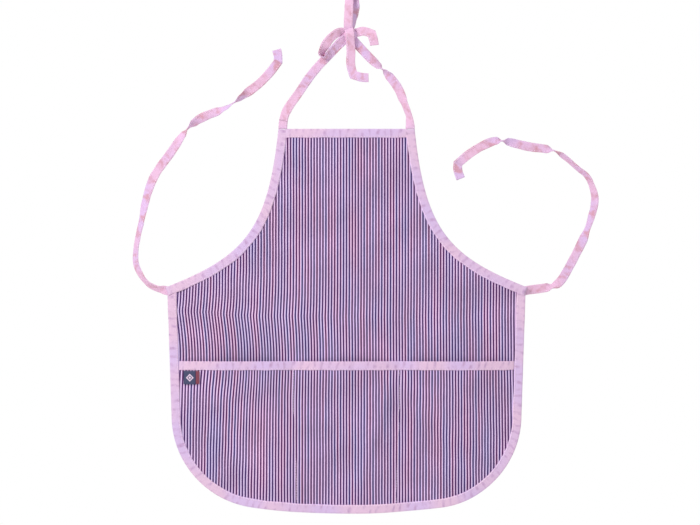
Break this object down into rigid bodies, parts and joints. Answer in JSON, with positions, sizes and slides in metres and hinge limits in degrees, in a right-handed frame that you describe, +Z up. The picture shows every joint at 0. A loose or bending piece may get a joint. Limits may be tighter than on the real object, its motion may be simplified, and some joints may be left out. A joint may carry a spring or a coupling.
{
  "type": "apron on a hook",
  "caption": "Bib apron of narrow striped cotton with bound edges, a divided full-width pocket and long tape ties, hung by the loop of its neck bow from a wall hook.",
  "frame": {"origin": "on the wall, at the middle of the hook plate's back face", "axes": "+Z up, +Y into the wall, -Y towards a person in front of the apron, +X to that person's right"},
  "size_m": [0.6347, 0.0605, 0.7665],
  "materials": {
    "satin_nickel": "satin nickel plate on cast zinc",
    "screw_steel": "zinc-plated steel",
    "striped_cotton": "yarn-dyed cotton, fine plum and pale lilac stripes",
    "binding_tape": "pale pink-lilac cotton bias tape",
    "tie_tape": "pink cotton bias tape, folded and stitched",
    "sewing_thread": "pale spun polyester thread",
    "label_weave": "navy damask-woven label"
  },
  "bodies": {
    "hook": {"hook_plate": "satin_nickel", "hook_arm": "satin_nickel", "hook_screw_upper": "screw_steel", "hook_screw_lower": "screw_steel"},
    "hanging_loop": {"hanging_loop": "tie_tape", "bow_knot": "tie_tape"},
    "apron": {"main_panel": "striped_cotton", "pocket_panel": "striped_cotton", "neck_tie_left": "tie_tape", "neck_tie_right": "tie_tape", "bib_top_binding": "binding_tape", "armhole_binding_left": "binding_tape", "armhole_binding_right": "binding_tape", "hem_binding": "binding_tape", "pocket_mouth_binding": "binding_tape", "bib_top_stitching": "sewing_thread", "armhole_left_stitching": "sewing_thread", "armhole_right_stitching": "sewing_thread", "hem_stitching": "sewing_thread", "pocket_mouth_stitching": "sewing_thread", "pocket_divider_stitching_left": "sewing_thread", "pocket_divider_stitching_right": "sewing_thread"},
    "waist_tie_left": {"waist_tie_left": "tie_tape"},
    "waist_tie_right": {"waist_tie_right": "tie_tape"},
    "bow_loop": {"bow_loop": "tie_tape"},
    "bow_tail_short": {"bow_tail_short": "tie_tape"},
    "bow_tail_long": {"bow_tail_long": "tie_tape"},
    "label": {"woven_label": "label_weave"}
  },
  "joints": [
    {"name": "apron_swing", "type": "hinge", "parent": "hook", "child": "hanging_loop", "pos_m": [0, -0.015, -0.012], "axis": [0, -1, 0], "range_deg": [-20, 20]},
    {"name": "apron_tip", "type": "hinge", "parent": "hanging_loop", "child": "apron", "pos_m": [-0.0035, -0.015, -0.0878], "axis": [-1, 0, 0], "range_deg": [-1, 35]},
    {"name": "waist_tie_left_swing", "type": "hinge", "parent": "apron", "child": "waist_tie_left", "pos_m": [-0.247, -0.0126, -0.4305], "axis": [0, -1, 0], "range_deg": [0, 190]},
    {"name": "waist_tie_right_swing", "type": "hinge", "parent": "apron", "child": "waist_tie_right", "pos_m": [0.2305, -0.0126, -0.4305], "axis": [0, 1, 0], "range_deg": [0, 160]},
    {"name": "bow_loop_lift", "type": "hinge", "parent": "apron", "child": "bow_loop", "pos_m": [-0.0035, -0.015, -0.0878], "axis": [0, 1, 0], "range_deg": [0, 15]},
    {"name": "bow_tail_short_lift", "type": "hinge", "parent": "apron", "child": "bow_tail_short", "pos_m": [-0.0035, -0.015, -0.0878], "axis": [0, -1, 0], "range_deg": [0, 10]},
    {"name": "bow_tail_long_swing", "type": "hinge", "parent": "apron", "child": "bow_tail_long", "pos_m": [-0.0035, -0.015, -0.0878], "axis": [0, -1, 0], "range_deg": [-12, 12]},
    {"name": "label_flap", "type": "hinge", "parent": "apron", "child": "label", "pos_m": [-0.217, -0.0238, -0.541], "axis": [-1, 0, 0], "range_deg": [0, 90]}
  ]
}
